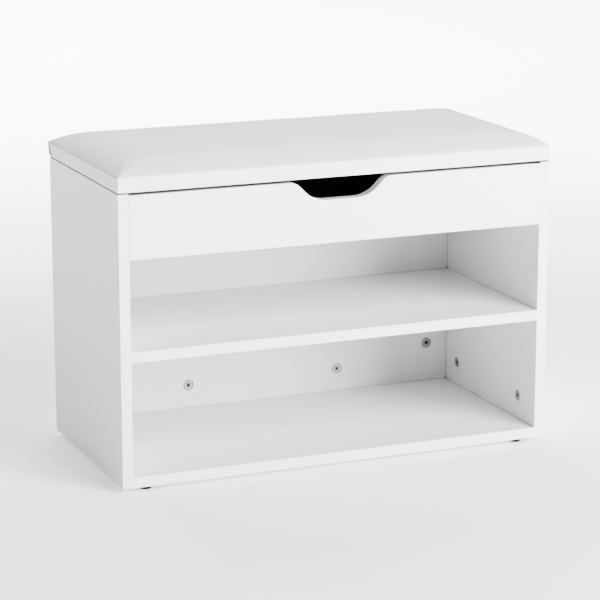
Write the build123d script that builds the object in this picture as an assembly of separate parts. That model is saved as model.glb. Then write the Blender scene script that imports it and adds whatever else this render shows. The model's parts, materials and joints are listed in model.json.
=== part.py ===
from build123d import *
import os
from math import cos, pi, sin, sqrt

# Entryway bench: a board case with two open bays, a storage compartment above them,
# and a padded seat that lifts as its lid. Millimetres. +Z is up, +X is to the right of
# a person facing the open bays, and -Y is the front.
# The origin is on the floor, in the middle of the space that the bench takes up.

# ---------------------------------------------------------------- driving dimensions
CASE_WIDTH = 630.0
CASE_DEPTH = 300.0
CASE_HEIGHT = 398.0          # underside of the base to the tops of the side panels
BOARD = 15.0                 # thickness of every board
BAND = 0.5                   # thickness of the edge bands
BAND_CHAMFER = 0.4           # along the edges of the bands
SHELF_TOP = 187.0            # above the underside of the base
FLOOR_UNDERSIDE = 310.0      # compartment floor and front panel, above the underside of the base
TOP_DROP = 2.0               # front and back panels end this far below the side panels

FINGER_HALF_WIDTH = 75.0     # finger cut-out, measured at the top edge of the front panel
FINGER_DEPTH = 26.5
FINGER_TOP_RADIUS = 21.0
FINGER_FOOT_RADIUS = 42.0
FINGER_SLOPE = pi / 4

LID_GAP = 1.0                # between the side panels and the seat
LID_OVERHANG = 0.5           # at each side
LID_BAND_HEIGHT = 20.5       # upright part of the seat's edge
CROWN_RISE = 20.5            # from there to the top of the cushion
CROWN_RUN = 50.0             # width of the rounded border of the cushion
COVER = 1.0                  # thickness of the cover
COVER_WRAP = 28.0            # width of the cover folded under the seat board
COVER_TO_FOAM = 0.3
DUST_COVER = 0.5             # thickness of the dust cover
DUST_MARGIN = 22.0           # from the seat's edges to the dust cover

GLIDE_HEIGHT = 6.5
GLIDE_RADIUS = 9.0
GLIDE_FOOT_RADIUS = 4.5
GLIDE_SKIRT = 2.0            # straight part of the glide's side
GLIDE_FROM_SIDE = 37.0
GLIDE_FROM_FRONT = 16.0
NAIL_RADIUS = 1.1
NAIL_HEAD_RADIUS = 3.5
NAIL_HEAD_HEIGHT = 0.9
NAIL_LENGTH = 11.0

CAM_RADIUS = 7.2
CAM_HEIGHT = 12.5
CAM_CHAMFER = 0.4
CAM_POCKET_RADIUS = 7.7
CAM_POCKET_DEPTH = 12.8
CAM_REACH = 34.0             # from the end of the board to the middle of the cam
CAM_CHANNEL_RADIUS = 3.8
CROSS_LENGTH = 6.8           # cross recess in the cam
CROSS_WIDTH = 1.6
CROSS_DEPTH = 2.8
CROSS_TAPER = 12.0           # degrees
BOLT_THREAD_RADIUS = 3.4
BOLT_THREAD_LENGTH = 11.0
BOLT_SHANK_RADIUS = 3.0
BOLT_NECK_RADIUS = 2.0
BOLT_NECK_LENGTH = 4.5
BOLT_HEAD_RADIUS = 3.3
BOLT_HEAD_LENGTH = 2.6
BOLT_BEVEL = 1.0             # at the ends of the thread, neck and head
BOLT_BORE_RADIUS = 4.0
DOWEL_RADIUS = 4.0
DOWEL_LENGTH = 30.0
DOWEL_CHAMFER = 0.8
DOWEL_IN_FACE = 10.0         # part of the dowel in the board whose face is drilled
PLAY = 0.1                   # around fasteners, and at the ends of their holes

HINGE_X = 190.0              # middle of each hinge
HINGE_LENGTH = 60.0
HINGE_BEHIND = 4.0           # hinge axis, behind the back panel
HINGE_REACH = 14.0           # leaf, in from the back face
LEAF = 1.3                   # thickness of a leaf
LEAF_GAP = 0.4
KNUCKLES = 5
KNUCKLE_RADIUS = 3.0
KNUCKLE_GAP = 0.3
KNUCKLE_RELIEF = 0.4         # between a knuckle and the edge of the other leaf
PIN_RADIUS = 1.5
PIN_HEAD_RADIUS = 2.4
PIN_HEAD = 1.0
FIXED_BORE_PLAY = 0.02
TURNING_BORE_PLAY = 0.05
SCREW_SPACING = 22.0
SCREW_RADIUS = 1.5
SCREW_HEAD_RADIUS = 2.75
SCREW_CROSS = (3.3, 0.7, 0.8)    # length, width and depth of the recess
SCREW_TIP_RADIUS = 0.2
SCREW_TIP = 2.5
SCREW_INTO_PANEL = 20.0
SCREW_INTO_SEAT = 13.0
SCREW_SINK = 0.05            # head below the face of the leaf

BUMPER_RADIUS = 4.0
BUMPER_HEIGHT = 0.9
BUMPER_FROM_END = 20.0

STAPLE_WIDTH = 10.0
STAPLE_WIRE = (0.6, 1.2)     # across the leg, and along the board
STAPLE_LEG = 7.0
STAPLE_MARGIN = 4.0          # in from the edge of the dust cover
STAPLES_LONG_ROW = 13
STAPLES_SHORT_ROW = 6
STAPLE_FROM_CORNER = 20.0    # end of a row, in from the corner of the dust cover

# ---------------------------------------------------------------- places worked out from them
LOW, HIGH = 0, 1
X_AXIS, Y_AXIS, Z_AXIS = 0, 1, 2
SIDES = (("left", -1), ("right", 1))
DOWN, UP = (0, 0, -1), (0, 0, 1)
FORWARD, BACKWARD = (0, -1, 0), (0, 1, 0)

HALF_WIDTH = CASE_WIDTH / 2
HALF_INSIDE = HALF_WIDTH - BOARD
FRONT_Y = -(CASE_DEPTH + HINGE_BEHIND + KNUCKLE_RADIUS) / 2
BACK_Y = FRONT_Y + CASE_DEPTH
BAY_BACK_Y = BACK_Y - BOARD
MID_Y = (FRONT_Y + BACK_Y) / 2

BASE_Z = GLIDE_HEIGHT
BASE_TOP_Z = BASE_Z + BOARD
SIDE_TOP_Z = BASE_Z + CASE_HEIGHT
PANEL_TOP_Z = SIDE_TOP_Z - TOP_DROP
SHELF_TOP_Z = BASE_Z + SHELF_TOP
SHELF_MID_Z = SHELF_TOP_Z - BOARD / 2
FLOOR_Z = BASE_Z + FLOOR_UNDERSIDE
FLOOR_TOP_Z = FLOOR_Z + BOARD
FLOOR_MID_Z = FLOOR_Z + BOARD / 2

LID_Z = SIDE_TOP_Z + LID_GAP
LID_HALF_WIDTH = HALF_WIDTH + LID_OVERHANG
SEAT_BOARD_Z = LID_Z + COVER
SEAT_BOARD_TOP_Z = SEAT_BOARD_Z + BOARD
CROWN_Z = LID_Z + LID_BAND_HEIGHT
DUST_COVER_Z = LID_Z - DUST_COVER

HINGE_Y = BACK_Y + HINGE_BEHIND
HINGE_Z = (PANEL_TOP_Z + LID_Z) / 2
SCREW_Y = BACK_Y - BOARD / 2

# cam and dowel places along the joints
SIDE_CAM_Y = (FRONT_Y + 52.0, FRONT_Y + 248.0)
BACK_CAM_X = 118.0
BACK_EDGE_CAM_Z = (BASE_TOP_Z + 59.0, FLOOR_TOP_Z + 35.5)
SHELF_CAM_Y = (FRONT_Y + 52.0, FRONT_Y + 228.0)
FLOOR_CAM_Y = (FRONT_Y + 67.0, FRONT_Y + 233.0)
FRONT_CAM_Z = FLOOR_Z + 28.5
FRONT_DOWEL_Z = FLOOR_Z + 63.5
BACK_DOWEL_X = 200.0
BACK_DOWEL_Z = SHELF_TOP_Z + 60.0
BOARD_DOWEL_X = 150.0        # shelf and compartment floor to the front and back panels


# ---------------------------------------------------------------- shapes used in many places
def block(x_span, y_span, z_span):
    """A box between two values on each axis."""
    spans = (x_span, y_span, z_span)
    centre = [(low + high) / 2 for low, high in spans]
    size = [high - low for low, high in spans]
    return Pos(*centre) * Box(*size)


def rod(start, direction, radius, length):
    """A cylinder that starts at a point and runs along a direction."""
    place = Plane(origin=start, z_dir=direction)
    return place * Cylinder(radius, length, align=(Align.CENTER, Align.CENTER, Align.MIN))


def turned(points, start, direction):
    """A turned piece: (radius, distance) points, spun about an axis through the start."""
    outline = Plane.XZ * make_face(Polyline(*points, close=True))
    return Plane(origin=start, z_dir=direction) * revolve(outline, Axis.Z)


def along(point, direction, distance):
    """The point at a distance from another."""
    return Vector(point) + Vector(direction) * distance


def cross_recess(length, width, depth):
    """Cutter for a cross recess in a face at Z = 0: two arms with sloping ends."""
    arm = extrude(Rectangle(length, width), amount=-depth, taper=CROSS_TAPER)
    return Rot(Z=45) * (arm + Rot(Z=90) * arm)


def banded_board(x_span, y_span, z_span, edges):
    """Core and edge bands of a board. Bands listed first run over the corners."""
    spans = [list(x_span), list(y_span), list(z_span)]
    whole = block(*spans)
    strips = []
    banded_edges = []
    for axis, end in edges:
        ranked = whole.faces().sort_by((Axis.X, Axis.Y, Axis.Z)[axis])
        banded_edges += (ranked[0] if end == LOW else ranked[-1]).edges()
        outer = spans[axis][end]
        inner = outer + BAND if end == LOW else outer - BAND
        strip = [list(span) for span in spans]
        strip[axis] = sorted((outer, inner))
        spans[axis][end] = inner
        strips.append(block(*strip))
    if not edges:
        return whole, []
    whole = chamfer(ShapeList(set(banded_edges)), BAND_CHAMFER)
    return whole & block(*spans), [whole & strip for strip in strips]


# ---------------------------------------------------------------- front panel
def finger_outline(inset):
    """Face above the front panel's top edge. The edge is lower and deeper by the inset."""
    slope_x = sin(FINGER_SLOPE)
    slope_z = cos(FINGER_SLOPE)
    top_radius = FINGER_TOP_RADIUS - inset
    foot_radius = FINGER_FOOT_RADIUS + inset
    top_centre = (FINGER_HALF_WIDTH, PANEL_TOP_Z - FINGER_TOP_RADIUS)
    straight_fall = FINGER_DEPTH - (FINGER_TOP_RADIUS + FINGER_FOOT_RADIUS) * (1 - slope_z)
    run = (FINGER_TOP_RADIUS + FINGER_FOOT_RADIUS) * slope_x + straight_fall
    foot_centre = (FINGER_HALF_WIDTH - run, PANEL_TOP_Z - FINGER_DEPTH + FINGER_FOOT_RADIUS)

    def on_top(angle):
        return (top_centre[0] - top_radius * sin(angle), top_centre[1] + top_radius * cos(angle))

    def on_foot(angle):
        return (foot_centre[0] + foot_radius * sin(angle), foot_centre[1] - foot_radius * cos(angle))

    far_x = HALF_WIDTH
    above_z = PANEL_TOP_Z + BOARD
    half = [
        Line((0, above_z), (far_x, above_z)),
        Line((far_x, above_z), (far_x, PANEL_TOP_Z - inset)),
        Line((far_x, PANEL_TOP_Z - inset), on_top(0)),
        ThreePointArc(on_top(0), on_top(FINGER_SLOPE / 2), on_top(FINGER_SLOPE)),
        Line(on_top(FINGER_SLOPE), on_foot(FINGER_SLOPE)),
        ThreePointArc(on_foot(FINGER_SLOPE), on_foot(FINGER_SLOPE / 2), on_foot(0)),
        Line(on_foot(0), (0, on_foot(0)[1])),
        Line((0, on_foot(0)[1]), (0, above_z)),
    ]
    right = make_face(half)
    return right + mirror(right, about=Plane.YZ)


def front_panel():
    """Core and edge bands of the board with the finger cut-out."""
    back = FRONT_Y + BOARD
    span = (-HALF_INSIDE, HALF_INSIDE)
    drawing = Plane(origin=(0, back, 0), x_dir=(1, 0, 0), z_dir=(0, -1, 0))
    whole = block(span, (FRONT_Y, back), (FLOOR_Z, PANEL_TOP_Z))
    whole -= extrude(drawing * finger_outline(0), amount=BOARD)
    outline = whole.faces().sort_by(Axis.Y)[0].edges() + whole.faces().sort_by(Axis.Y)[-1].edges()
    banded_edges = [edge for edge in outline if abs(edge.center().X) < HALF_INSIDE - BAND]
    whole = chamfer(banded_edges, BAND_CHAMFER)
    lower = whole & block(span, (FRONT_Y, back), (FLOOR_Z, FLOOR_Z + BAND))
    core = whole - lower - extrude(drawing * finger_outline(BAND), amount=BOARD)
    return core, [whole - lower - core, lower]


# ---------------------------------------------------------------- cam locks and dowels
class CamLock:
    """A cam in one board and the bolt that it pulls from another.

    foot is where the bolt crosses from one board to the other, into points into the
    board with the cam, and face is the outward normal of the face that shows the cam.
    """

    def __init__(self, cam_board, bolt_board, foot, into, face):
        self.cam_board = cam_board
        self.bolt_board = bolt_board
        self.foot = Vector(foot)
        self.into = Vector(into)
        centre = along(self.foot, into, CAM_REACH)
        head = along(centre, face, BOARD / 2)
        self.place = Plane(origin=head, x_dir=self.into * -1, z_dir=face)

    def cam(self):
        downwards = (Align.CENTER, Align.CENTER, Align.MAX)
        body = Cylinder(CAM_RADIUS, CAM_HEIGHT, align=downwards)
        body = chamfer(body.edges().sort_by(Axis.Z)[-1], CAM_CHAMFER)
        channel_start = -BOLT_HEAD_LENGTH - 2 * PLAY
        channel_length = CAM_RADIUS - channel_start + PLAY
        body -= rod((channel_start, 0, -BOARD / 2), (1, 0, 0), CAM_CHANNEL_RADIUS, channel_length)
        body -= cross_recess(CROSS_LENGTH, CROSS_WIDTH, CROSS_DEPTH)
        return self.place * body

    def bolt(self):
        neck_end = CAM_REACH
        neck_start = neck_end - BOLT_NECK_LENGTH
        points = [
            (0, -BOLT_THREAD_LENGTH),
            (BOLT_THREAD_RADIUS - BOLT_BEVEL, -BOLT_THREAD_LENGTH),
            (BOLT_THREAD_RADIUS, BOLT_BEVEL - BOLT_THREAD_LENGTH),
            (BOLT_THREAD_RADIUS, 0),
            (BOLT_SHANK_RADIUS, 0),
            (BOLT_SHANK_RADIUS, neck_start),
            (BOLT_NECK_RADIUS, neck_start + BOLT_BEVEL),
            (BOLT_NECK_RADIUS, neck_end - BOLT_BEVEL),
            (BOLT_HEAD_RADIUS, neck_end),
            (BOLT_HEAD_RADIUS, neck_end + BOLT_HEAD_LENGTH - BOLT_BEVEL),
            (BOLT_HEAD_RADIUS - BOLT_BEVEL, neck_end + BOLT_HEAD_LENGTH),
            (0, neck_end + BOLT_HEAD_LENGTH),
        ]
        return turned(points, self.foot, self.into)

    def pocket(self):
        """Cutter for the board with the cam."""
        downwards = (Align.CENTER, Align.CENTER, Align.MAX)
        seat = self.place * Cylinder(CAM_POCKET_RADIUS, CAM_POCKET_DEPTH, align=downwards)
        return seat + rod(self.foot, self.into, BOLT_BORE_RADIUS, CAM_REACH)

    def thread_hole(self):
        """Cutter for the board with the bolt."""
        return rod(self.foot, self.into * -1, BOLT_THREAD_RADIUS + PLAY, BOLT_THREAD_LENGTH + PLAY)


class Dowel:
    """A wooden dowel from the face of one board into the edge of another."""

    def __init__(self, edge_board, face_board, foot, into):
        self.edge_board = edge_board
        self.face_board = face_board
        self.foot = Vector(foot)
        self.into = Vector(into)

    def pin(self):
        start = along(self.foot, self.into, -DOWEL_IN_FACE)
        return chamfer(rod(start, self.into, DOWEL_RADIUS, DOWEL_LENGTH).edges(), DOWEL_CHAMFER)

    def edge_hole(self):
        length = DOWEL_LENGTH - DOWEL_IN_FACE + PLAY
        return rod(self.foot, self.into, DOWEL_RADIUS + PLAY, length)

    def face_hole(self):
        return rod(self.foot, self.into * -1, DOWEL_RADIUS + PLAY, DOWEL_IN_FACE + PLAY)


def side_cam_locks(side, sign):
    """The cam locks at one end of the bench."""
    side_board = f"{side}_side_panel"
    inward = (-sign, 0, 0)
    inside_x = sign * HALF_INSIDE
    side_mid_x = sign * (HALF_WIDTH - BOARD / 2)
    back_mid_y = BACK_Y - BOARD / 2
    front_mid_y = FRONT_Y + BOARD / 2
    locks = [
        CamLock(side_board, "base_panel", (side_mid_x, y, BASE_TOP_Z), UP, inward)
        for y in SIDE_CAM_Y
    ]
    locks += [
        CamLock("back_panel", side_board, (inside_x, back_mid_y, z), inward, FORWARD)
        for z in BACK_EDGE_CAM_Z
    ]
    locks += [
        CamLock("middle_shelf", side_board, (inside_x, y, SHELF_MID_Z), inward, DOWN)
        for y in SHELF_CAM_Y
    ]
    locks += [
        CamLock("compartment_floor", side_board, (inside_x, y, FLOOR_MID_Z), inward, DOWN)
        for y in FLOOR_CAM_Y
    ]
    front_foot = (inside_x, front_mid_y, FRONT_CAM_Z)
    back_foot = (sign * BACK_CAM_X, back_mid_y, BASE_TOP_Z)
    locks.append(CamLock("front_panel", side_board, front_foot, inward, BACKWARD))
    locks.append(CamLock("back_panel", "base_panel", back_foot, UP, FORWARD))
    return locks


def side_dowels(side, sign):
    """The dowels at one end of the bench."""
    side_board = f"{side}_side_panel"
    inward = (-sign, 0, 0)
    inside_x = sign * HALF_INSIDE
    side_mid_x = sign * (HALF_WIDTH - BOARD / 2)
    back_mid_y = BACK_Y - BOARD / 2
    front_mid_y = FRONT_Y + BOARD / 2
    dowel_x = sign * BOARD_DOWEL_X
    return [
        Dowel(side_board, "base_panel", (side_mid_x, MID_Y, BASE_TOP_Z), UP),
        Dowel("back_panel", "base_panel", (sign * BACK_DOWEL_X, back_mid_y, BASE_TOP_Z), UP),
        Dowel("back_panel", side_board, (inside_x, back_mid_y, BACK_DOWEL_Z), inward),
        Dowel("middle_shelf", side_board, (inside_x, MID_Y, SHELF_MID_Z), inward),
        Dowel("compartment_floor", side_board, (inside_x, MID_Y, FLOOR_MID_Z), inward),
        Dowel("front_panel", side_board, (inside_x, front_mid_y, FRONT_DOWEL_Z), inward),
        Dowel("middle_shelf", "back_panel", (dowel_x, BAY_BACK_Y, SHELF_MID_Z), FORWARD),
        Dowel("compartment_floor", "back_panel", (dowel_x, BAY_BACK_Y, FLOOR_MID_Z), FORWARD),
        Dowel("compartment_floor", "front_panel", (dowel_x, FRONT_Y + BOARD, FLOOR_MID_Z), BACKWARD),
    ]


# ---------------------------------------------------------------- hinges
def screw(face_point, direction, length, extra=0.0):
    """A countersunk screw, or the cutter for its hole with extra room all round."""
    radius = SCREW_RADIUS + extra
    sink = 0.0 if extra else SCREW_SINK
    points = [
        (0, sink),
        (SCREW_HEAD_RADIUS + extra, sink),
        (radius, LEAF),
        (radius, length - SCREW_TIP + extra),
        (SCREW_TIP_RADIUS + extra, length + extra),
        (0, length + extra),
    ]
    body = turned(points, face_point, direction)
    if extra:
        return body
    recess = Pos(0, 0, -SCREW_SINK) * cross_recess(*SCREW_CROSS)
    outward = Vector(direction) * -1
    return body - Plane(origin=face_point, z_dir=outward) * recess


def hinge_screw_places(z):
    """Where the hinge screws enter a leaf, for both hinges."""
    return [
        (hinge_x + step * SCREW_SPACING, SCREW_Y, z)
        for hinge_x in (-HINGE_X, HINGE_X)
        for step in (-1, 0, 1)
    ]


BASE_LEAF_TOP_Z = PANEL_TOP_Z + LEAF
LID_LEAF_Z = LID_Z - LEAF


def knuckle_span(hinge_x, index, margin):
    """X span of one knuckle, made shorter by the margin at each end."""
    pitch = HINGE_LENGTH / KNUCKLES
    low = hinge_x - HINGE_LENGTH / 2 + index * pitch
    return low + margin, low + pitch - margin


def axis_rod(x_span, radius):
    """A cylinder on the hinge axis."""
    low, high = x_span
    return rod((low, HINGE_Y, HINGE_Z), (1, 0, 0), radius, high - low)


def leaf(hinge_x, z_span, own_parity, bore_play):
    """One leaf with its knuckles, relieved where the other leaf's knuckles turn."""
    half = HINGE_LENGTH / 2
    plate = block((hinge_x - half, hinge_x + half), (BACK_Y - HINGE_REACH, HINGE_Y), z_span)
    for index in range(KNUCKLES):
        if index % 2 == own_parity:
            plate += axis_rod(knuckle_span(hinge_x, index, KNUCKLE_GAP / 2), KNUCKLE_RADIUS)
    for index in range(KNUCKLES):
        if index % 2 != own_parity:
            relief = knuckle_span(hinge_x, index, -KNUCKLE_GAP / 2)
            plate -= axis_rod(relief, KNUCKLE_RADIUS + KNUCKLE_RELIEF)
    return plate - axis_rod((hinge_x - half - 1, hinge_x + half + 1), PIN_RADIUS + bore_play)


def hinge_pin(hinge_x):
    """The pin, with a flat head at each end."""
    half = HINGE_LENGTH / 2
    pin = axis_rod((hinge_x - half - PIN_HEAD, hinge_x + half + PIN_HEAD), PIN_RADIUS)
    for sign in (-1, 1):
        ends = sorted((hinge_x + sign * half, hinge_x + sign * (half + PIN_HEAD)))
        pin += axis_rod(ends, PIN_HEAD_RADIUS)
    return pin


def hinge_nodes():
    """Leaves and pins of both hinges, and the two groups of screws."""
    found = {}
    base_places = hinge_screw_places(BASE_LEAF_TOP_Z)
    lid_places = hinge_screw_places(LID_LEAF_Z)
    base_holes = [screw(place, DOWN, SCREW_INTO_PANEL, PLAY) for place in base_places]
    lid_holes = [screw(place, UP, SCREW_INTO_SEAT, PLAY) for place in lid_places]
    for side, sign in SIDES:
        hinge_x = sign * HINGE_X
        base_leaf = leaf(hinge_x, (PANEL_TOP_Z, BASE_LEAF_TOP_Z), 0, FIXED_BORE_PLAY)
        lid_leaf = leaf(hinge_x, (LID_LEAF_Z, LID_Z), 1, TURNING_BORE_PLAY)
        found[f"{side}_hinge_base_leaf"] = [base_leaf - base_holes]
        found[f"{side}_hinge_lid_leaf"] = [lid_leaf - lid_holes]
        found[f"{side}_hinge_pin"] = [hinge_pin(hinge_x)]
    found["hinge_base_screws"] = [screw(place, DOWN, SCREW_INTO_PANEL) for place in base_places]
    found["hinge_lid_screws"] = [screw(place, UP, SCREW_INTO_SEAT) for place in lid_places]
    return found, base_holes, lid_holes


# ---------------------------------------------------------------- glides and bumpers
def glide_places():
    """Centre of each glide, with its name."""
    glide_x = HALF_WIDTH - GLIDE_FROM_SIDE
    rows = (("front", FRONT_Y + GLIDE_FROM_FRONT), ("rear", BACK_Y - GLIDE_FROM_FRONT))
    return {f"{row}_{side}": (sign * glide_x, y) for row, y in rows for side, sign in SIDES}


def glide(x, y):
    """A domed glide with a flat foot and a seat for the nail's head."""
    shoulder = GLIDE_HEIGHT - GLIDE_SKIRT
    reach = GLIDE_RADIUS - GLIDE_FOOT_RADIUS
    side = EllipticalCenterArc((GLIDE_FOOT_RADIUS, shoulder), reach, shoulder, start_angle=-90, arc_size=90)
    outline = [
        Line((0, 0), (GLIDE_FOOT_RADIUS, 0)),
        side,
        Line((GLIDE_RADIUS, shoulder), (GLIDE_RADIUS, GLIDE_HEIGHT)),
        Line((GLIDE_RADIUS, GLIDE_HEIGHT), (0, GLIDE_HEIGHT)),
        Line((0, GLIDE_HEIGHT), (0, 0)),
    ]
    body = revolve(Plane.XZ * make_face(outline), Axis.Z)
    seat_depth = NAIL_HEAD_HEIGHT + 2 * PLAY
    body -= rod((0, 0, GLIDE_HEIGHT - seat_depth), UP, NAIL_HEAD_RADIUS + PLAY, seat_depth)
    return Pos(x, y, 0) * body


def glide_nail(x, y):
    """The nail that holds a glide, head down."""
    points = [
        (0, 0),
        (NAIL_HEAD_RADIUS, 0),
        (NAIL_HEAD_RADIUS, NAIL_HEAD_HEIGHT),
        (NAIL_RADIUS, NAIL_HEAD_HEIGHT),
        (NAIL_RADIUS, NAIL_LENGTH - NAIL_RADIUS * 2),
        (0, NAIL_LENGTH),
    ]
    return turned(points, (x, y, BASE_Z - NAIL_HEAD_HEIGHT - PLAY), UP)


def lid_bumpers():
    """Thin pads on the tops of the side panels, under the seat."""
    bumper_x = HALF_WIDTH - BOARD / 2
    ends = (FRONT_Y + BUMPER_FROM_END, BACK_Y - BUMPER_FROM_END)
    return [
        rod((sign * bumper_x, y, SIDE_TOP_Z), UP, BUMPER_RADIUS, BUMPER_HEIGHT)
        for _, sign in SIDES
        for y in ends
    ]


# ---------------------------------------------------------------- seat
def crown_profile(half_length, bottom_z, inset):
    """Section of the cushion: upright edges, then an arc that eases into a level top."""
    radius = (CROWN_RUN**2 + CROWN_RISE**2) / (2 * CROWN_RISE) - inset
    run = CROWN_RUN - inset
    edge = half_length - inset
    level_from = half_length - CROWN_RUN
    top = CROWN_Z + CROWN_RISE - inset

    def on_arc(distance):
        """Point of the arc at a distance outward from where the level top ends."""
        return (level_from + distance, top - radius + sqrt(radius**2 - distance**2))

    half = [
        Line((0, bottom_z), (edge, bottom_z)),
        Line((edge, bottom_z), on_arc(run)),
        ThreePointArc(on_arc(run), on_arc(run / 2), on_arc(0)),
        Line(on_arc(0), (0, top)),
        Line((0, top), (0, bottom_z)),
    ]
    right = make_face(half)
    return right + mirror(right, about=Plane.YZ)


def cushion_form(bottom_z, inset):
    """The seat's outer form, moved inward by the inset. Its corners are hips, like a roof's."""
    across = Plane(origin=(0, BACK_Y - inset, 0), x_dir=(1, 0, 0), z_dir=(0, -1, 0))
    along_x = Plane(origin=(inset - LID_HALF_WIDTH, MID_Y, 0), x_dir=(0, 1, 0), z_dir=(1, 0, 0))
    front_view = crown_profile(LID_HALF_WIDTH, bottom_z, inset)
    side_view = crown_profile(CASE_DEPTH / 2, bottom_z, inset)
    wide = extrude(across * front_view, amount=CASE_DEPTH - 2 * inset)
    deep = extrude(along_x * side_view, amount=2 * (LID_HALF_WIDTH - inset))
    return wide & deep


def seat_board():
    """The board that carries the cushion."""
    half = LID_HALF_WIDTH - COVER
    return block((-half, half), (FRONT_Y + COVER, BACK_Y - COVER), (SEAT_BOARD_Z, SEAT_BOARD_TOP_Z))


def seat_cover():
    """The cover: over the cushion, down the edges and folded under the board."""
    cover = cushion_form(LID_Z, 0.0) - cushion_form(SEAT_BOARD_Z, COVER)
    half = LID_HALF_WIDTH - COVER_WRAP
    return cover - block((-half, half), (FRONT_Y + COVER_WRAP, BACK_Y - COVER_WRAP), (LID_Z, SEAT_BOARD_Z))


def dust_cover():
    """The cloth that closes the underside of the seat."""
    half = LID_HALF_WIDTH - DUST_MARGIN
    return block((-half, half), (FRONT_Y + DUST_MARGIN, BACK_Y - DUST_MARGIN), (DUST_COVER_Z, LID_Z))


def staple(x, y, turn):
    """One staple, its crown under the dust cover and its legs in the seat board."""
    wire, along_board = STAPLE_WIRE
    half = STAPLE_WIDTH / 2
    depth = (-along_board / 2, along_board / 2)
    body = block((-half, half), depth, (-wire, 0))
    for low in (-half, half - wire):
        body += block((low, low + wire), depth, (0, STAPLE_LEG))
    return Pos(x, y, DUST_COVER_Z) * Rot(Z=turn) * body


def staples():
    """Staples all round the dust cover."""
    row_x = LID_HALF_WIDTH - DUST_MARGIN - STAPLE_MARGIN
    row_y = CASE_DEPTH / 2 - DUST_MARGIN - STAPLE_MARGIN
    long_end = row_x - STAPLE_FROM_CORNER
    short_end = row_y - STAPLE_FROM_CORNER
    long_step = 2 * long_end / (STAPLES_LONG_ROW - 1)
    short_step = 2 * short_end / (STAPLES_SHORT_ROW - 1)
    found = []
    for sign in (-1, 1):
        for index in range(STAPLES_LONG_ROW):
            found.append(staple(-long_end + index * long_step, MID_Y + sign * row_y, 0))
        for index in range(STAPLES_SHORT_ROW):
            found.append(staple(sign * row_x, MID_Y - short_end + index * short_step, 90))
    return found


# ---------------------------------------------------------------- the boards of the case
def case_boards():
    """Cores and edge bands of the boards, before drilling."""
    inside = (-HALF_INSIDE, HALF_INSIDE)
    full_depth = (FRONT_Y, BACK_Y)
    front, rear = (Y_AXIS, LOW), (Y_AXIS, HIGH)
    left, right = (X_AXIS, LOW), (X_AXIS, HIGH)
    top = (Z_AXIS, HIGH)
    upright = (BASE_TOP_Z, SIDE_TOP_Z)
    left_span, right_span = (-HALF_WIDTH, -HALF_INSIDE), (HALF_INSIDE, HALF_WIDTH)
    return {
        "base_panel": banded_board(
            (-HALF_WIDTH, HALF_WIDTH), full_depth, (BASE_Z, BASE_TOP_Z), [front, rear, left, right]
        ),
        "left_side_panel": banded_board(left_span, full_depth, upright, [front, rear, top]),
        "right_side_panel": banded_board(right_span, full_depth, upright, [front, rear, top]),
        "back_panel": banded_board(inside, (BAY_BACK_Y, BACK_Y), (BASE_TOP_Z, PANEL_TOP_Z), [top]),
        "middle_shelf": banded_board(
            inside, (FRONT_Y, BAY_BACK_Y), (SHELF_TOP_Z - BOARD, SHELF_TOP_Z), [front]
        ),
        "compartment_floor": banded_board(
            inside, (FRONT_Y + BOARD, BAY_BACK_Y), (FLOOR_Z, FLOOR_TOP_Z), []
        ),
        "front_panel": front_panel(),
    }


def build_nodes():
    """Every node by name, as a list of solids."""
    nodes, base_screw_holes, lid_screw_holes = hinge_nodes()
    locks = [lock for side in SIDES for lock in side_cam_locks(*side)]
    dowels = [dowel for side in SIDES for dowel in side_dowels(*side)]
    nails = [glide_nail(x, y) for x, y in glide_places().values()]
    nail_holes = [
        rod((x, y, BASE_Z), UP, NAIL_RADIUS + PLAY, NAIL_LENGTH)
        for x, y in glide_places().values()
    ]

    for name, (core, bands) in case_boards().items():
        holes = [lock.pocket() for lock in locks if lock.cam_board == name]
        holes += [lock.thread_hole() for lock in locks if lock.bolt_board == name]
        holes += [dowel.edge_hole() for dowel in dowels if dowel.edge_board == name]
        holes += [dowel.face_hole() for dowel in dowels if dowel.face_board == name]
        if name == "base_panel":
            holes += nail_holes
        if name == "back_panel":
            holes += base_screw_holes
            bands = [band - base_screw_holes for band in bands]
        nodes[name] = [core - holes]
        if bands:
            nodes[f"{name}_bands"] = bands
        cams = [lock.cam() for lock in locks if lock.cam_board == name]
        if cams:
            nodes[f"{name}_cams"] = cams
        bolts = [lock.bolt() for lock in locks if lock.bolt_board == name]
        if bolts:
            nodes[f"{name}_cam_bolts"] = bolts

    nodes["wooden_dowels"] = [dowel.pin() for dowel in dowels]
    for name, place in glide_places().items():
        nodes[f"glide_{name}"] = [glide(*place)]
    nodes["glide_nails"] = nails
    nodes["lid_bumpers"] = lid_bumpers()
    nodes["seat_board"] = [seat_board() - lid_screw_holes]
    nodes["foam_pad"] = [cushion_form(SEAT_BOARD_TOP_Z, COVER + COVER_TO_FOAM)]
    nodes["seat_cover"] = [seat_cover() - lid_screw_holes]
    nodes["dust_cover"] = [dust_cover()]
    nodes["staples"] = staples()
    return nodes


def write_step(name, shapes):
    """Write one node, one solid after another."""
    solids = [solid for shape in shapes for solid in shape.solids()]
    whole = solids[0] if len(solids) == 1 else Compound(solids)
    export_step(whole, f"parts/{name}.step")


os.makedirs("parts", exist_ok=True)
for node_name, node_shapes in build_nodes().items():
    write_step(node_name, node_shapes)
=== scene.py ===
"""Entryway bench: the looks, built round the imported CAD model.

Everything is in metres in the model's own frame: +Z up, -Y the front, +X to the right
of a person facing the open bays.
"""

import json
import math

import bpy
import numpy as np
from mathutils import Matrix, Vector, kdtree, noise

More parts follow.
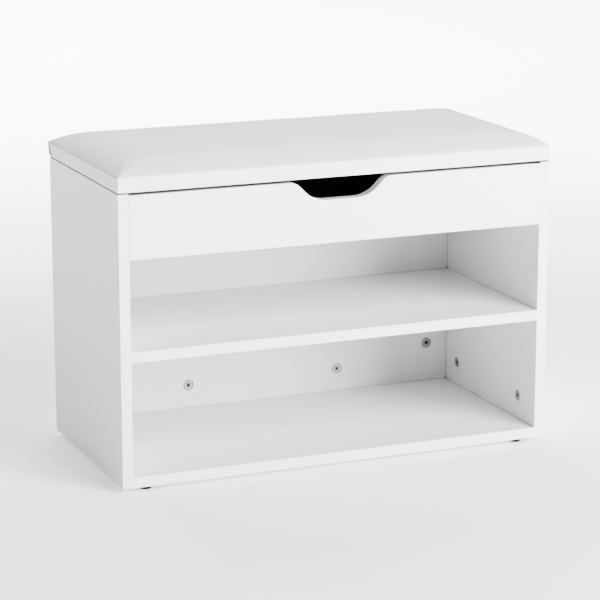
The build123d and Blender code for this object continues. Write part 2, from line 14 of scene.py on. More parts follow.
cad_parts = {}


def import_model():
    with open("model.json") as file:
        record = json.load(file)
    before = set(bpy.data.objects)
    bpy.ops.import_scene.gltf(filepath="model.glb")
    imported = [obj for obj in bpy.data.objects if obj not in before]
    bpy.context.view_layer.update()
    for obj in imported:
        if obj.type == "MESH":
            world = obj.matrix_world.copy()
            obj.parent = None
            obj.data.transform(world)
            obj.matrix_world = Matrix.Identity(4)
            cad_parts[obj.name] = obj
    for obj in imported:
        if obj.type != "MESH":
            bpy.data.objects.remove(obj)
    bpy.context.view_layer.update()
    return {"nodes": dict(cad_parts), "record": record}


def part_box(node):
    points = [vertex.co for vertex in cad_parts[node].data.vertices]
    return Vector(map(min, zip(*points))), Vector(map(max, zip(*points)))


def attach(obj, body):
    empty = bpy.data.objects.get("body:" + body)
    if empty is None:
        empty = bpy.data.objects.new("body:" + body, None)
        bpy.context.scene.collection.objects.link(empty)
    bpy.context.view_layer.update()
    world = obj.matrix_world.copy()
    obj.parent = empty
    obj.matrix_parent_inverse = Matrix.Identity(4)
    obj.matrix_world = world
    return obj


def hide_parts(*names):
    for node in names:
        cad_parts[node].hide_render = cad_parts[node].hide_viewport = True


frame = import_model()

MM = 0.001
FOLD_SHADOW_MARK = "fold"                      # mesh attribute along which a shadow is painted into the leather, in the crease of a fold


# ---------------------------------------------------------------- node helpers
def new_material(name):
    """A material with its tree, its shader and texture coordinates fixed to the object."""
    material = bpy.data.materials.new(name)
    material.use_nodes = True
    tree = material.node_tree
    shader = tree.nodes["Principled BSDF"]
    coordinates = tree.nodes.new("ShaderNodeTexCoord")
    return material, tree, shader, coordinates.outputs["Object"]


def noise_node(tree, vector, scale, detail=3.0, roughness=0.5):
    """Noise texture. The scale is in cells per metre."""
    node = tree.nodes.new("ShaderNodeTexNoise")
    node.inputs["Scale"].default_value = scale
    node.inputs["Detail"].default_value = detail
    node.inputs["Roughness"].default_value = roughness
    tree.links.new(vector, node.inputs["Vector"])
    return node.outputs["Fac"]


def stretched(tree, vector, scale):
    """The coordinates multiplied by a scale for each axis."""
    node = tree.nodes.new("ShaderNodeMapping")
    node.inputs["Scale"].default_value = scale
    tree.links.new(vector, node.inputs["Vector"])
    return node.outputs["Vector"]


def ramp(tree, value, stops):
    """Colour ramp from (position, colour) stops."""
    node = tree.nodes.new("ShaderNodeValToRGB")
    elements = node.color_ramp.elements
    while len(elements) < len(stops):
        elements.new(0.5)
    for element, (position, colour) in zip(elements, stops):
        element.position = position
        element.color = (*colour, 1.0)
    tree.links.new(value, node.inputs["Fac"])
    return node.outputs["Color"]


def remap(tree, value, low, high, from_low=0.0, from_high=1.0):
    """A value carried from one range to another."""
    node = tree.nodes.new("ShaderNodeMapRange")
    node.inputs["From Min"].default_value = from_low
    node.inputs["From Max"].default_value = from_high
    node.inputs["To Min"].default_value = low
    node.inputs["To Max"].default_value = high
    tree.links.new(value, node.inputs["Value"])
    return node.outputs["Result"]


def add_bump(tree, shader, height, strength, distance, under=None):
    """Bump from a height, laid over another bump if there is one."""
    node = tree.nodes.new("ShaderNodeBump")
    node.inputs["Strength"].default_value = strength
    node.inputs["Distance"].default_value = distance
    tree.links.new(height, node.inputs["Height"])
    if under is not None:
        tree.links.new(under, node.inputs["Normal"])
    tree.links.new(node.outputs["Normal"], shader.inputs["Normal"])
    return node.outputs["Normal"]


def paint_crevice_shade(tree, shader, colour, distance, dark, closed=0.2, open_=0.55):
    """Painted shade: base colour darkened by ambient occlusion inside narrow gaps and recesses,
    and hardly in plain corners.

    A surface keeps the share "dark" of its colour where it is open to less than the share
    "closed" of its surroundings, and all of it where it is open to more than "open_".
    """
    occlusion = tree.nodes.new("ShaderNodeAmbientOcclusion")
    occlusion.samples = 6
    occlusion.inputs["Distance"].default_value = distance
    openness = remap(tree, occlusion.outputs["AO"], dark, 1.0, closed, open_)
    shade = tree.nodes.new("ShaderNodeMix")
    shade.data_type = "RGBA"
    shade.blend_type = "MULTIPLY"
    shade.inputs["Factor"].default_value = 1.0
    tree.links.new(colour, shade.inputs["A"])
    tree.links.new(openness, shade.inputs["B"])
    tree.links.new(shade.outputs["Result"], shader.inputs["Base Color"])


def grey(value):
    """A colour with the same value in all three channels."""
    return (value, value, value)


# ---------------------------------------------------------------- materials
def board_foil():
    """White melamine foil: even, satin, with a very fine pearl texture, and painted shade in
    narrow gaps and recesses.
    """
    material, tree, shader, where = new_material("board_foil")
    tone = noise_node(tree, where, 14.0, detail=4.0)
    colour = ramp(tree, tone, [(0.3, grey(0.925)), (0.7, grey(0.935))])
    paint_crevice_shade(tree, shader, colour, 5 * MM, 0.25)
    pearl = noise_node(tree, where, 1400.0, detail=2.0)
    roughness = remap(tree, pearl, 0.42, 0.54, 0.3, 0.7)
    tree.links.new(roughness, shader.inputs["Roughness"])
    add_bump(tree, shader, pearl, 0.10, 0.0002)
    shader.inputs["Specular IOR Level"].default_value = 0.4
    return material


def edge_band():
    """White plastic edge band: slightly greyer than the foil, and glossier, with painted shade
    in narrow gaps and recesses.
    """
    material, tree, shader, where = new_material("edge_band")
    tone = noise_node(tree, where, 30.0)
    colour = ramp(tree, tone, [(0.3, grey(0.905)), (0.7, grey(0.92))])
    paint_crevice_shade(tree, shader, colour, 5 * MM, 0.25)
    grain = noise_node(tree, where, 900.0, detail=2.0)
    roughness = remap(tree, grain, 0.36, 0.46)
    tree.links.new(roughness, shader.inputs["Roughness"])
    add_bump(tree, shader, grain, 0.06, 0.0002)
    return material


def metal(name, colour, roughness, grain):
    """Plated or cast metal: fine grain, small spots of duller surface, and painted shade that
    goes to black in deep recesses.
    """
    material, tree, shader, where = new_material(name)
    spots = noise_node(tree, where, grain, detail=5.0, roughness=0.6)
    dark = [channel * 0.82 for channel in colour]
    base = ramp(tree, spots, [(0.32, dark), (0.62, colour)])
    paint_crevice_shade(tree, shader, base, 5 * MM, 0.0, closed=0.35, open_=0.78)
    rough = remap(tree, spots, roughness + 0.12, roughness - 0.06, 0.3, 0.7)
    tree.links.new(rough, shader.inputs["Roughness"])
    shader.inputs["Metallic"].default_value = 1.0
    add_bump(tree, shader, spots, 0.15, 0.0001)
    return material


def black_plastic():
    """Moulded black plastic with a fine spark texture."""
    material, tree, shader, where = new_material("black_plastic")
    spark = noise_node(tree, where, 2600.0, detail=2.0)
    colour = ramp(tree, spark, [(0.3, grey(0.012)), (0.7, grey(0.022))])
    tree.links.new(colour, shader.inputs["Base Color"])
    tree.links.new(remap(tree, spark, 0.38, 0.55), shader.inputs["Roughness"])
    add_bump(tree, shader, spark, 0.2, 0.0001)
    return material


def leather():
    """Smooth white artificial leather: shallow pebble grain, a painted shadow where a fold is
    marked, and painted shade in narrow gaps.
    """
    material, tree, shader, where = new_material("white_leather")
    tone = noise_node(tree, where, 9.0)
    colour = ramp(tree, tone, [(0.3, grey(0.885)), (0.7, grey(0.90))])
    fold = tree.nodes.new("ShaderNodeAttribute")
    fold.attribute_name = FOLD_SHADOW_MARK
    shadow = tree.nodes.new("ShaderNodeMix")
    shadow.data_type = "RGBA"
    tree.links.new(fold.outputs["Fac"], shadow.inputs["Factor"])
    tree.links.new(colour, shadow.inputs["A"])
    shadow.inputs["B"].default_value = (*grey(0.16), 1.0)
    paint_crevice_shade(tree, shader, shadow.outputs["Result"], 3 * MM, 0.35)
    pebble = tree.nodes.new("ShaderNodeTexVoronoi")
    pebble.feature = "DISTANCE_TO_EDGE"
    pebble.inputs["Scale"].default_value = 850.0
    pebble.inputs["Randomness"].default_value = 0.9
    tree.links.new(where, pebble.inputs["Vector"])
    grain = remap(tree, pebble.outputs["Distance"], 0.0, 1.0, 0.0, 0.12)
    pores = noise_node(tree, where, 2400.0, detail=2.0)
    tree.links.new(remap(tree, pores, 0.40, 0.52, 0.3, 0.7), shader.inputs["Roughness"])
    low = add_bump(tree, shader, grain, 0.12, 0.0002)
    add_bump(tree, shader, pores, 0.05, 0.0001, under=low)
    shader.inputs["Specular IOR Level"].default_value = 0.45
    shader.inputs["Sheen Weight"].default_value = 0.04
    return material


def dust_cloth():
    """Black spunbonded cloth: loose fibres with a grid of pressed dots."""
    material, tree, shader, where = new_material("dust_cloth")
    drawn = stretched(tree, where, (1.0, 0.35, 1.0))
    fibres = noise_node(tree, drawn, 2200.0, detail=5.0, roughness=0.7)
    dots = tree.nodes.new("ShaderNodeTexVoronoi")
    dots.feature = "F1"
    dots.inputs["Scale"].default_value = 620.0
    dots.inputs["Randomness"].default_value = 0.0
    tree.links.new(where, dots.inputs["Vector"])
    pressed = remap(tree, dots.outputs["Distance"], 0.0, 1.0, 0.18, 0.34)
    colour = ramp(tree, fibres, [(0.35, grey(0.006)), (0.75, grey(0.022))])
    tree.links.new(colour, shader.inputs["Base Color"])
    shader.inputs["Roughness"].default_value = 0.9
    shader.inputs["Sheen Weight"].default_value = 0.15
    low = add_bump(tree, shader, fibres, 0.5, 0.0002)
    add_bump(tree, shader, pressed, 0.5, 0.0002, under=low)
    return material


def beech():
    """Turned beech: fine straight streaks of two browns."""
    material, tree, shader, where = new_material("beech")
    grain = noise_node(tree, stretched(tree, where, (1.0, 1.0, 0.12)), 900.0, detail=4.0)
    colour = ramp(tree, grain, [(0.3, (0.42, 0.24, 0.12)), (0.7, (0.62, 0.42, 0.24))])
    tree.links.new(colour, shader.inputs["Base Color"])
    shader.inputs["Roughness"].default_value = 0.65
    add_bump(tree, shader, grain, 0.3, 0.0002)
    return material


def chipboard():
    """Raw particle board: pressed chips of several tones."""
    material, tree, shader, where = new_material("chipboard")
    chips = tree.nodes.new("ShaderNodeTexVoronoi")
    chips.inputs["Scale"].default_value = 420.0
    tree.links.new(stretched(tree, where, (1.0, 1.0, 2.2)), chips.inputs["Vector"])
    colour = ramp(
        tree,
        chips.outputs["Distance"],
        [(0.1, (0.62, 0.45, 0.27)), (0.5, (0.48, 0.33, 0.18)), (0.8, (0.30, 0.19, 0.10))],
    )
    tree.links.new(colour, shader.inputs["Base Color"])
    shader.inputs["Roughness"].default_value = 0.85
    add_bump(tree, shader, chips.outputs["Distance"], 0.5, 0.0004)
    return material


def soft_pad():
    """Milky soft plastic of the lid bumpers."""
    material, tree, shader, where = new_material("soft_pad")
    haze = noise_node(tree, where, 700.0)
    colour = ramp(tree, haze, [(0.3, grey(0.60)), (0.7, grey(0.70))])
    tree.links.new(colour, shader.inputs["Base Color"])
    tree.links.new(remap(tree, haze, 0.25, 0.45), shader.inputs["Roughness"])
    shader.inputs["Subsurface Weight"].default_value = 0.1
    return material


LEATHER = leather()


def dress_cad_nodes():
    """Give every CAD node the material of its slot in the record."""
    by_slot = {
        "white_board": board_foil(),
        "edge_band": edge_band(),
        "cam_zinc": metal("cam_zinc", (0.56, 0.56, 0.555), 0.42, 1500.0),
        "bolt_steel": metal("bolt_steel", (0.62, 0.62, 0.60), 0.30, 900.0),
        "hinge_steel": metal("hinge_steel", (0.66, 0.66, 0.65), 0.28, 700.0),
        "staple_wire": metal("staple_wire", (0.70, 0.70, 0.71), 0.25, 2500.0),
        "glide_plastic": black_plastic(),
        "dowel_wood": beech(),
        "raw_board": chipboard(),
        "bumper_pad": soft_pad(),
        "dust_cloth": dust_cloth(),
        "seat_leather": LEATHER,
        "seat_foam": LEATHER,
    }
    for part in frame["record"]["subparts"]:
        mesh = frame["nodes"][part["node"]].data
        mesh.materials.clear()
        mesh.materials.append(by_slot[part["material_slot"]])


dress_cad_nodes()


# ---------------------------------------------------------------- seat cushion
CUSHION_LOW, CUSHION_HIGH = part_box("seat_cover")
BOARD_LOW, BOARD_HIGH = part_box("seat_board")
MIDDLE = (CUSHION_LOW + CUSHION_HIGH) / 2
HALF = (CUSHION_HIGH - CUSHION_LOW) / 2
BAND_TOP = CUSHION_LOW.z + 20.5 * MM    # the upright edge would meet the slope here
RUN = 50 * MM                           # width of the slope from the edge to the level top
RISE = CUSHION_HIGH.z - BAND_TOP
ARC = (RUN**2 + RISE**2) / (2 * RISE)   # radius of the slope's section
TURN = math.acos(RUN / ARC)             # bend from the upright edge into the slope
BEND = 4 * MM                           # radius of that bend
EDGE_TOP = BAND_TOP - BEND * math.tan(TURN / 2)     # where the bend begins
FILL = 2 * MM                           # last part of the rise, which the simulation gives
START = 1 - FILL / RISE                 # share of the rise before that
CORNER = 2.5 * MM                       # radius of the upright corners
WRAP = 28 * MM                          # width of the cover folded under the board
SLACK = 0.15 * MM                       # room between the cover and its board
CAVITY_CORNER = 0.4 * MM                # bevel inside the cavity that the board lies in
TOUCH = 0.01 * MM                       # points nearer than this are in one place
MITRE = 2 * MM                          # width over which two slopes blend, at the edge
MITRE_GROWTH = 0.6                      # and how it grows inward
EDGE_SHARES = (0.94, 0.84, 0.72, 0.6, 0.48, 0.36, 0.24, 0.13)   # loops of the upright edge

# The mesh lines: how many follow the bend and the slope, how much closer they lie at the
# foot of the slope, and their distance on the level top.
BEND_STEPS = 4
FINE_STEPS, FINE_GAP = 16, 6 * MM
FORM_STEPS, FORM_GAP = 8, 8 * MM        # the same for the form that is simulated
CROWDING = 1.2

# The folded corners at the back: distances of some points from the back edge, at the top
# of the fold and at its foot, and how deep each lies. The deepest one is the crease.
FOLD_TOP = [d * MM for d in (0, 0.7, 1.4, 2.1, 2.8, 3.5, 4.2, 4.9, 30)]
FOLD_FOOT = [d * MM for d in (0, 4, 8, 10.5, 12, 13.2, 13.8, 15.0, 31)]
FOLD_DEPTH = [d * MM for d in (0, 0, 0, 0.4, 1.9, 2.6, 0.1, 0, 0)]
FOLD_ROOM = 0.9 * MM                    # least room between a fold and the next mesh line
FOLD_SHOWN = 0.3                        # share of that depth at the top of the edge
FOLD_DEEPENS, FOLD_ENDS = 0.15, 0.06    # shares of the edge over which it deepens, and ends
FOLD_SHADOW_TONES = {3: 0.5, 4: 1.0, 5: 1.0}   # strength of the painted shadow on some mesh lines, numbered from the back
EAR_OUT = 1.3 * MM                      # swelling of the folded corners to the side
EAR_BACK = 2.6 * MM                     # and backward
EAR_WIDTH = 10 * MM
EAR_FOOT = 0.25                         # share of the edge over which the swelling starts

# The simulation
VOXEL = 5 * MM
FRAMES = 20
HELD_FADE = 3 * MM                      # height over which the held edge becomes free cloth
MOVE_CAP = 14 * MM                      # farthest that a point may move
NEIGHBOURS = 8                          # simulated points that move a point of the mesh
SMOOTHING = 6                           # rounds of smoothing of the movement

# Unevenness of the cover
DRIFT = 0.35 * MM                       # height of the slow undulation
DRIFT_X, DRIFT_Y = 90 * MM, 60 * MM     # and its size
PULL_BACK, PULL_FRONT = 0.55 * MM, 0.2 * MM     # height of the pulls at the corners
PULL_PLACE, PULL_WIDTH = 22 * MM, 24 * MM       # their distance from the corner, and length
PULL_TURNS, PULL_PHASE = 13, 0.8        # ripples across them
CALM = 6 * MM                           # height above the edge where all of this is full


def end_stations(steps):
    """Distances in from an edge: round the bend, then up the slope."""
    bend = [BEND * (1 - math.cos(TURN * k / BEND_STEPS)) for k in range(BEND_STEPS + 1)]
    start, slope = bend[-1], RUN - bend[-1]
    return bend + [start + slope * (k / steps) ** CROWDING for k in range(1, steps + 1)]


def fold_stations(steps):
    """The same at the back, with the extra lines that the corner folds need."""
    clear = FOLD_TOP[-2] + FOLD_ROOM
    return FOLD_TOP[:-1] + [d for d in end_stations(steps) if d > clear]


def stations(low, high, near, far, step):
    """Coordinates from low to high: near and far are the distances at the two ends."""
    inner_low, inner_high = low + near[-1], high - far[-1]
    count = max(2, round((inner_high - inner_low) / step))
    middle = [inner_low + (inner_high - inner_low) * k / count for k in range(1, count)]
    return [low + d for d in near] + middle + [high - d for d in reversed(far)]


def edge_distance(x, y):
    """Distance in from the nearest edge of the cushion, rounded off where two edges meet."""
    across = HALF.x - np.abs(x - MIDDLE.x)
    along = HALF.y - np.abs(y - MIDDLE.y)
    width = MITRE + MITRE_GROWTH * np.minimum(across, along)
    overlap = np.maximum(width - np.abs(across - along), 0) / width
    return np.maximum(np.minimum(across, along) - overlap**2 * width / 4, 0)


def crown(x, y, share):
    """Height of the cushion: round the bend, up an arc by a share of the rise, then level."""
    inward = np.minimum(edge_distance(x, y), RUN)
    bend = EDGE_TOP + np.sqrt(np.maximum(BEND**2 - np.maximum(BEND - inward, 0) ** 2, 0))
    slope = BAND_TOP + share * (RISE - ARC + np.sqrt(ARC**2 - (RUN - inward) ** 2))
    return np.where(inward < BEND * (1 - math.cos(TURN)), bend, slope)


def round_corners(x, y):
    """Carry the points of each square corner of the cushion onto a rounded one."""
    side_x, side_y = np.sign(x - MIDDLE.x), np.sign(y - MIDDLE.y)
    over_x = np.abs(x - MIDDLE.x) - HALF.x + CORNER
    over_y = np.abs(y - MIDDLE.y) - HALF.y + CORNER
    inside = (over_x > 0) & (over_y > 0)
    u, v = np.clip(over_x / CORNER, 0, 1), np.clip(over_y / CORNER, 0, 1)
    new_x = MIDDLE.x + side_x * (HALF.x - CORNER + CORNER * u * np.sqrt(1 - v**2 / 2))
    new_y = MIDDLE.y + side_y * (HALF.y - CORNER + CORNER * v * np.sqrt(1 - u**2 / 2))
    return np.where(inside, new_x, x), np.where(inside, new_y, y)


def ears(x, y, strength):
    """Swell the folded corners at the back outward."""
    side = np.sign(x - MIDDLE.x)
    away = np.hypot(HALF.x - np.abs(x - MIDDLE.x), CUSHION_HIGH.y - y)
    swell = strength * np.exp(-((away / EAR_WIDTH) ** 2))
    return x + side * EAR_OUT * swell, y + EAR_BACK * swell


def rim(columns, rows):
    """Grid indices round the outside of a grid, anticlockwise from its low corner."""
    last_x, last_y = columns - 1, rows - 1
    path = [(i, 0) for i in range(last_x)] + [(last_x, j) for j in range(last_y)]
    path += [(i, last_y) for i in range(last_x, 0, -1)] + [(0, j) for j in range(last_y, 0, -1)]
    return path


def closed_cushion(top, loops, floor_z):
    """Faces of a closed form: a grid, loops down from its rim, and a level grid to close it.

    top is an array of points (columns, rows, 3), and each loop an array of rim points.
    The last loop also gives the outline of the closing grid.
    """
    columns, rows = top.shape[:2]
    path = rim(columns, rows)
    points = list(top.reshape(-1, 3))
    index = np.arange(columns * rows).reshape(columns, rows)
    faces = [
        (index[i, j], index[i + 1, j], index[i + 1, j + 1], index[i, j + 1])
        for i in range(columns - 1)
        for j in range(rows - 1)
    ]
    upper = [index[i, j] for i, j in path]
    for loop in loops:
        lower = list(range(len(points), len(points) + len(path)))
        points.extend(loop)
        for k in range(len(path)):
            after = (k + 1) % len(path)
            faces.append((upper[k], lower[k], lower[after], upper[after]))
        upper = lower
    close = np.zeros((columns, rows), int)
    for (i, j), number in zip(path, upper):
        close[i, j] = number
    xs = [points[close[i, 0]][0] for i in range(columns)]
    ys = [points[close[0, j]][1] for j in range(rows)]
    for i in range(1, columns - 1):
        for j in range(1, rows - 1):
            close[i, j] = len(points)
            points.append(np.array((xs[i], ys[j], floor_z)))
    faces += [
        (close[i, j], close[i, j + 1], close[i + 1, j + 1], close[i + 1, j])
        for i in range(columns - 1)
        for j in range(rows - 1)
    ]
    mesh = bpy.data.meshes.new("cushion")
    mesh.from_pydata([tuple(p) for p in points], [], [tuple(map(int, f)) for f in faces])
    mesh.update()
    return mesh


def top_grid(xs, ys, share):
    """Points of the crown over a grid of stations."""
    x, y = np.meshgrid(xs, ys, indexing="ij")
    z = crown(x, y, share)
    x, y = ears(*round_corners(x, y), 1.0)
    return np.stack((x, y, z), axis=-1)


def edge_loop(xs, ys, share):
    """A loop of the upright edge, with the folds. share is 1 at its top and 0 at its foot."""
    x, y = np.array([(xs[i], ys[j]) for i, j in rim(len(xs), len(ys))]).T
    from_back = CUSHION_HIGH.y - y
    on_side = np.abs(np.abs(x - MIDDLE.x) - HALF.x) < TOUCH
    fanned = share * from_back + (1 - share) * np.interp(from_back, FOLD_TOP, FOLD_FOOT)
    shown = min(1, FOLD_SHOWN + (1 - share) / FOLD_DEEPENS) * min(1, share / FOLD_ENDS)
    depth = np.interp(from_back, FOLD_TOP, FOLD_DEPTH) * shown
    side = np.sign(x - MIDDLE.x)
    folded = on_side & (from_back < FOLD_TOP[-1])
    x, y = round_corners(x, np.where(folded, CUSHION_HIGH.y - fanned, y))
    swell = min(1, share / EAR_FOOT) ** 0.5
    x, y = ears(x - np.where(on_side, side * depth, 0), y, swell)
    z = CUSHION_LOW.z + share * (EDGE_TOP - CUSHION_LOW.z)
    return np.stack((x, y, np.full_like(x, z)), axis=-1)


def puffed():
    """Rest points of the low crown and how far the cloth simulation carries each one."""
    ends = end_stations(FORM_STEPS)
    xs = stations(CUSHION_LOW.x, CUSHION_HIGH.x, ends, ends, FORM_GAP)
    ys = stations(CUSHION_LOW.y, CUSHION_HIGH.y, ends, ends, FORM_GAP)
    top = top_grid(xs, ys, START)
    foot = edge_loop(xs, ys, 0)
    form = bpy.data.objects.new("cushion_form", closed_cushion(top, [foot], CUSHION_LOW.z))
    bpy.context.scene.collection.objects.link(form)
    remesh = form.modifiers.new("remesh", "REMESH")
    remesh.mode = "VOXEL"
    remesh.voxel_size = VOXEL
    form.data = bpy.data.meshes.new_from_object(
        form.evaluated_get(bpy.context.evaluated_depsgraph_get())
    )
    form.modifiers.clear()

    rest = np.array([v.co for v in form.data.vertices])
    held = form.vertex_groups.new(name="held")
    for number, z in enumerate(rest[:, 2]):
        held.add([number], float(np.clip(1 - (z - BAND_TOP) / HELD_FADE, 0, 1)), "REPLACE")
    cloth = form.modifiers.new("cloth", "CLOTH")
    settings = cloth.settings
    settings.quality = 6
    settings.mass = 0.25
    settings.tension_stiffness = 60
    settings.compression_stiffness = 60
    settings.shear_stiffness = 20
    settings.bending_stiffness = 2.5
    settings.tension_damping = 12
    settings.compression_damping = 12
    settings.use_pressure = True
    settings.uniform_pressure_force = 2
    settings.vertex_group_mass = "held"
    settings.effector_weights.gravity = 0
    cloth.collision_settings.use_collision = False
    scene = bpy.context.scene
    cloth.point_cache.frame_start, cloth.point_cache.frame_end = 1, FRAMES
    for step in range(1, FRAMES + 1):
        scene.frame_set(step)
    done = form.evaluated_get(bpy.context.evaluated_depsgraph_get()).to_mesh()
    moved = np.array([v.co for v in done.vertices]) - rest
    form.modifiers.clear()
    scene.frame_set(1)
    bpy.data.objects.remove(form)
    size = np.linalg.norm(moved, axis=1)
    return rest, moved * np.minimum(1, MOVE_CAP / np.maximum(size, 1e-9))[:, None]


def carried(points, rest, moved):
    """The simulated movement at other points, from the nearest simulated ones."""
    tree = kdtree.KDTree(len(rest))
    for number, place in enumerate(rest):
        tree.insert(place, number)
    tree.balance()
    out = np.zeros_like(points)
    for number, place in enumerate(points):
        near = tree.find_n(place, NEIGHBOURS)
        weights = np.array([1 / (gap + 1 * MM) ** 2 for _, _, gap in near])
        moves = moved[[which for _, which, _ in near]]
        out[number] = (moves * weights[:, None]).sum(0) / weights.sum()
    return out


def smoothed(field, rounds):
    """A field on the grid averaged with its neighbours, its rim kept."""
    for _ in range(rounds):
        mean = (field[:-2, 1:-1] + field[2:, 1:-1] + field[1:-1, :-2] + field[1:-1, 2:]) / 4
        field[1:-1, 1:-1] = (field[1:-1, 1:-1] + mean) / 2
    return field


def creases(top):
    """Soft unevenness of the cover: slow undulation, and pulls that run in from the corners."""
    for i, j in np.ndindex(top.shape[:2]):
        x, y, z = top[i, j]
        rise = min(1, max(0, z - BAND_TOP) / CALM)
        drift = noise.noise((x / DRIFT_X, y / DRIFT_Y, 0.3)) * DRIFT
        corner_x = CUSHION_HIGH.x if x > MIDDLE.x else CUSHION_LOW.x
        corner_y = CUSHION_HIGH.y if y > MIDDLE.y else CUSHION_LOW.y
        height = PULL_BACK if y > MIDDLE.y else PULL_FRONT
        away = math.hypot(x - corner_x, y - corner_y)
        turn = math.atan2(abs(y - corner_y), abs(x - corner_x))
        pull = height * math.exp(-(((away - PULL_PLACE) / PULL_WIDTH) ** 2))
        ripple = math.sin(PULL_TURNS * turn + PULL_PHASE) * math.sin(2 * turn)
        top[i, j, 2] += rise * (drift + pull * ripple)
    return top


def filled(xs, ys):
    """The crown over a grid of stations, the last of its rise given by the simulation."""
    top = top_grid(xs, ys, START)
    rest, moved = puffed()
    shift = carried(top.reshape(-1, 3), rest, moved).reshape(top.shape)
    shift = smoothed(shift, SMOOTHING)
    for i, j in rim(*top.shape[:2]):
        shift[i, j] = 0
    return top + shift * (FILL / shift[:, :, 2].max())


def turned_under(edge):
    """Loops from the foot of the edge: under the board, then round the cavity it lies in.

    The section lists how far each loop lies in from the edge, and its height.
    """
    middle = np.array((MIDDLE.x, MIDDLE.y))
    half = np.array((HALF.x, HALF.y))
    foot, under, over = CUSHION_LOW.z, BOARD_LOW.z - SLACK, BOARD_HIGH.z + SLACK
    beside = CUSHION_HIGH.x - BOARD_HIGH.x - SLACK
    section = (
        (0.25 * MM, foot + 1.1 * MM),
        (0.8 * MM, foot + 0.35 * MM),
        (1.8 * MM, foot),
        (8 * MM, foot),
        (18 * MM, foot),
        (WRAP - 0.6 * MM, foot),
        (WRAP, foot + 0.3 * MM),
        (WRAP, under - 0.2 * MM),
        (WRAP - 0.5 * MM, under),
        (beside + CAVITY_CORNER, under),
        (beside, under + CAVITY_CORNER),
        (beside, over - CAVITY_CORNER),
        (beside + CAVITY_CORNER, over),
    )
    loops = []
    for inward, z in section:
        loop = edge.copy()
        loop[:, :2] = middle + (edge[:, :2] - middle) * (half - inward) / half
        loop[:, 2] = z
        loops.append(loop)
    return loops


def paint_fold_shadow(mesh, xs, ys, first):
    """Mark the crease of each fold on the loops of the upright edge, where the leather paints a
    shadow.

    first is the number of the first of their points in the mesh.
    """
    mark = mesh.attributes.new(FOLD_SHADOW_MARK, "FLOAT", "POINT")
    for number, (i, j) in enumerate(rim(len(xs), len(ys)) * len(EDGE_SHARES)):
        behind = len(ys) - 1 - j
        if i in (0, len(xs) - 1) and behind in FOLD_SHADOW_TONES:
            mark.data[first + number].value = FOLD_SHADOW_TONES[behind]


def seat_cushion():
    """The padded seat: its cover over the foam, down the edges and folded under the board."""
    ends = end_stations(FINE_STEPS)
    back = fold_stations(FINE_STEPS)
    xs = stations(CUSHION_LOW.x, CUSHION_HIGH.x, ends, ends, FINE_GAP)
    ys = stations(CUSHION_LOW.y, CUSHION_HIGH.y, ends, back, FINE_GAP)
    top = creases(filled(xs, ys))
    loops = [edge_loop(xs, ys, share) for share in EDGE_SHARES]
    loops += turned_under(edge_loop(xs, ys, 0))
    mesh = closed_cushion(top, loops, BOARD_HIGH.z + SLACK)
    paint_fold_shadow(mesh, xs, ys, len(xs) * len(ys))
    mesh.materials.append(LEATHER)
    for face in mesh.polygons:
        face.use_smooth = True
    cushion = bpy.data.objects.new("seat_cushion", mesh)
    bpy.context.scene.collection.objects.link(cushion)
    smooth = cushion.modifiers.new("smooth", "SUBSURF")
    smooth.levels = smooth.render_levels = 1
    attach(cushion, "lid")
    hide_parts("seat_cover", "foam_pad")


seat_cushion()


# ---------------------------------------------------------------- stage
FLOOR_SIZE = 60.0
FLOOR_GLOW = 0.21                       # the floor's own light round the bench
FAR_GLOW = 1.02                         # and far from it
NEAR, FAR = 0.9, 2.6                    # distances between which that light grows
WORLD_LIGHT = 0.217
BENCH = (0.0, 0.0, 0.35)                # what the key lights are aimed at
EYE = (-1.2504, -2.9992, 0.9950)
EYE_TILT, EYE_TURN = 76.279, -22.689    # degrees
SENSOR, LENS = 36.0, 141.94             # mm


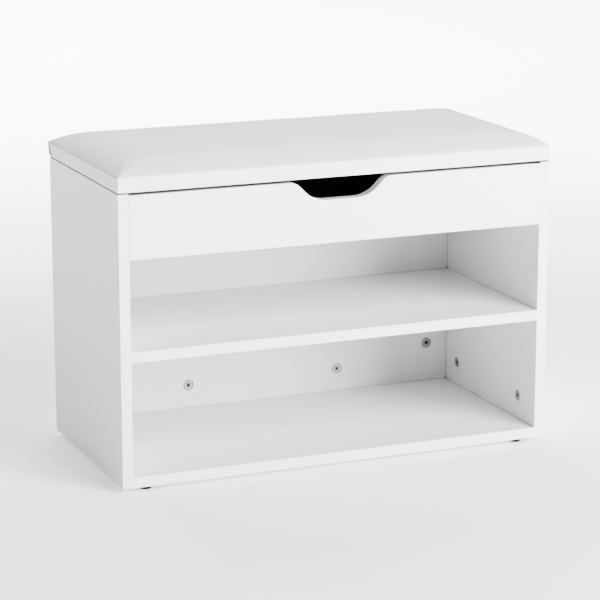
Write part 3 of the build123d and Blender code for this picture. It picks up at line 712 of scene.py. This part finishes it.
def floor():
    """A plain pale floor under the bench that glows with its own emitted light, faintly round
    the bench and brighter far from it.
    """
    bpy.ops.mesh.primitive_plane_add(size=FLOOR_SIZE)
    plane = bpy.context.object
    plane.name = "floor"
    material, tree, shader, where = new_material("glowing_floor_paint")
    tone = noise_node(tree, where, 3.0)
    colour = ramp(tree, tone, [(0.3, grey(0.965)), (0.7, grey(0.975))])
    tree.links.new(colour, shader.inputs["Base Color"])
    shader.inputs["Roughness"].default_value = 0.9
    shader.inputs["Specular IOR Level"].default_value = 0.1
    # Emitted glow of the floor, growing with distance from the bench
    reach = tree.nodes.new("ShaderNodeVectorMath")
    reach.operation = "LENGTH"
    tree.links.new(where, reach.inputs[0])
    share = remap(tree, reach.outputs["Value"], 0.0, 1.0, NEAR, FAR)
    glow = ramp(tree, share, [(0.0, grey(FLOOR_GLOW / FAR_GLOW)), (1.0, grey(1.0))])
    tree.links.new(glow, shader.inputs["Emission Color"])
    shader.inputs["Emission Strength"].default_value = FAR_GLOW
    plane.data.materials.append(material)


def world():
    """Even white surroundings."""
    surroundings = bpy.data.worlds.new("studio")
    surroundings.use_nodes = True
    background = surroundings.node_tree.nodes["Background"]
    background.inputs["Color"].default_value = (1.0, 1.0, 1.0, 1.0)
    background.inputs["Strength"].default_value = WORLD_LIGHT
    bpy.context.scene.world = surroundings


def soft_box(name, place, target, size, watts):
    """A square area light aimed at a point."""
    data = bpy.data.lights.new(name, "AREA")
    data.shape = "SQUARE"
    data.size = size
    data.energy = watts
    lamp = bpy.data.objects.new(name, data)
    lamp.location = place
    lamp.visible_camera = False
    lamp.rotation_euler = (Vector(target) - Vector(place)).to_track_quat("-Z", "Y").to_euler()
    bpy.context.scene.collection.objects.link(lamp)


def camera():
    """The viewing angle: from the left of the front, a little above the seat."""
    data = bpy.data.cameras.new("camera")
    data.sensor_width = SENSOR
    data.lens = LENS
    data.clip_start = 0.1
    data.clip_end = 50.0
    eye = bpy.data.objects.new("camera", data)
    eye.location = EYE
    eye.rotation_euler = (math.radians(EYE_TILT), 0.0, math.radians(EYE_TURN))
    bpy.context.scene.collection.objects.link(eye)
    bpy.context.scene.camera = eye


floor()
world()
soft_box("key_low", (2.020, -2.884, 1.098), BENCH, 1.6, 92.0)
soft_box("key_high", (0.996, -2.737, 2.466), BENCH, 1.6, 59.0)
soft_box("backdrop", (0.8, 4.2, 2.8), (0.8, 4.0, 0.0), 5.0, 199.0)
camera()
bpy.context.scene.view_settings.view_transform = "AgX"
bpy.context.scene.view_settings.look = "AgX - Very High Contrast"
